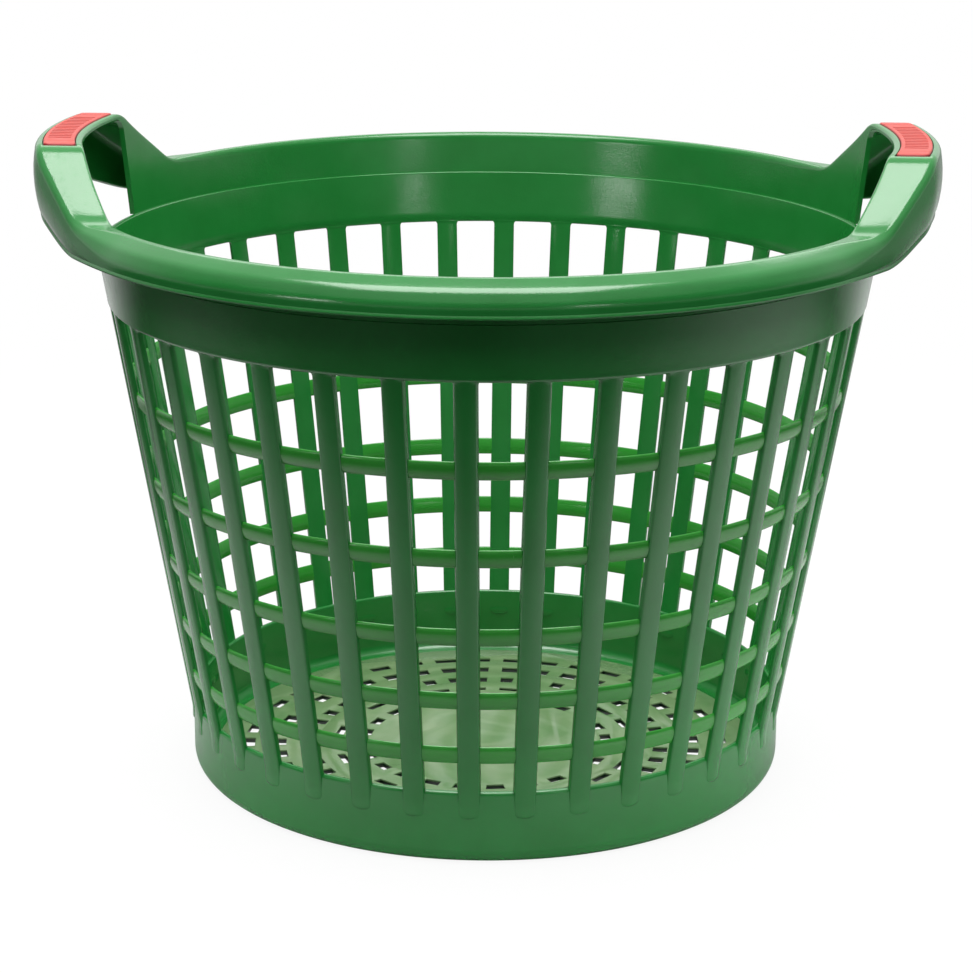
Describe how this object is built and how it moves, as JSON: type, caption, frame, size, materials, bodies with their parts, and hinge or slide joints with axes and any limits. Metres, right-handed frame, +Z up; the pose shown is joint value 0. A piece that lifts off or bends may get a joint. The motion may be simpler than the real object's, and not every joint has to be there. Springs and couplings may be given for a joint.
{
  "type": "garden basket",
  "caption": "Round tapered garden basket with an open ribbed wall, slotted floor, rolled rim and raised side handles with soft grip pads, for gathering and carrying produce.",
  "frame": {"origin": "centre of the foot, on the surface that the basket stands on", "axes": "+Z up along the basket's axis, +X towards the right handle, -Y towards the viewer"},
  "size_m": [0.469, 0.4446, 0.3447],
  "materials": {
    "basket_body": "semi-gloss moulded plastic, leaf green",
    "grip_pad": "satin soft-touch insert, coral red"
  },
  "bodies": {
    "root": {"floor_plate": "basket_body", "base_band": "basket_body", "collar": "basket_body", "hoop_1": "basket_body", "hoop_2": "basket_body", "hoop_3": "basket_body", "hoop_4": "basket_body", "hoop_5": "basket_body", "rib_01": "basket_body", "rib_02": "basket_body", "rib_03": "basket_body", "rib_04": "basket_body", "rib_05": "basket_body", "rib_06": "basket_body", "rib_07": "basket_body", "rib_08": "basket_body", "rib_09": "basket_body", "rib_10": "basket_body", "rib_11": "basket_body", "rib_12": "basket_body", "rib_13": "basket_body", "rib_14": "basket_body", "rib_15": "basket_body", "rib_16": "basket_body", "rib_17": "basket_body", "rib_18": "basket_body", "rib_19": "basket_body", "rib_20": "basket_body", "rib_21": "basket_body", "rib_22": "basket_body", "rib_23": "basket_body", "rib_24": "basket_body", "rib_25": "basket_body", "rib_26": "basket_body", "rib_27": "basket_body", "rib_28": "basket_body", "rib_29": "basket_body", "rib_30": "basket_body", "rib_31": "basket_body", "rib_32": "basket_body", "rib_33": "basket_body", "rib_34": "basket_body", "rib_35": "basket_body", "rib_36": "basket_body", "rim_front": "basket_body", "rim_rear": "basket_body", "handle_left": "basket_body", "handle_right": "basket_body", "grip_pad_left": "grip_pad", "grip_pad_right": "grip_pad"}
  },
  "joints": []
}
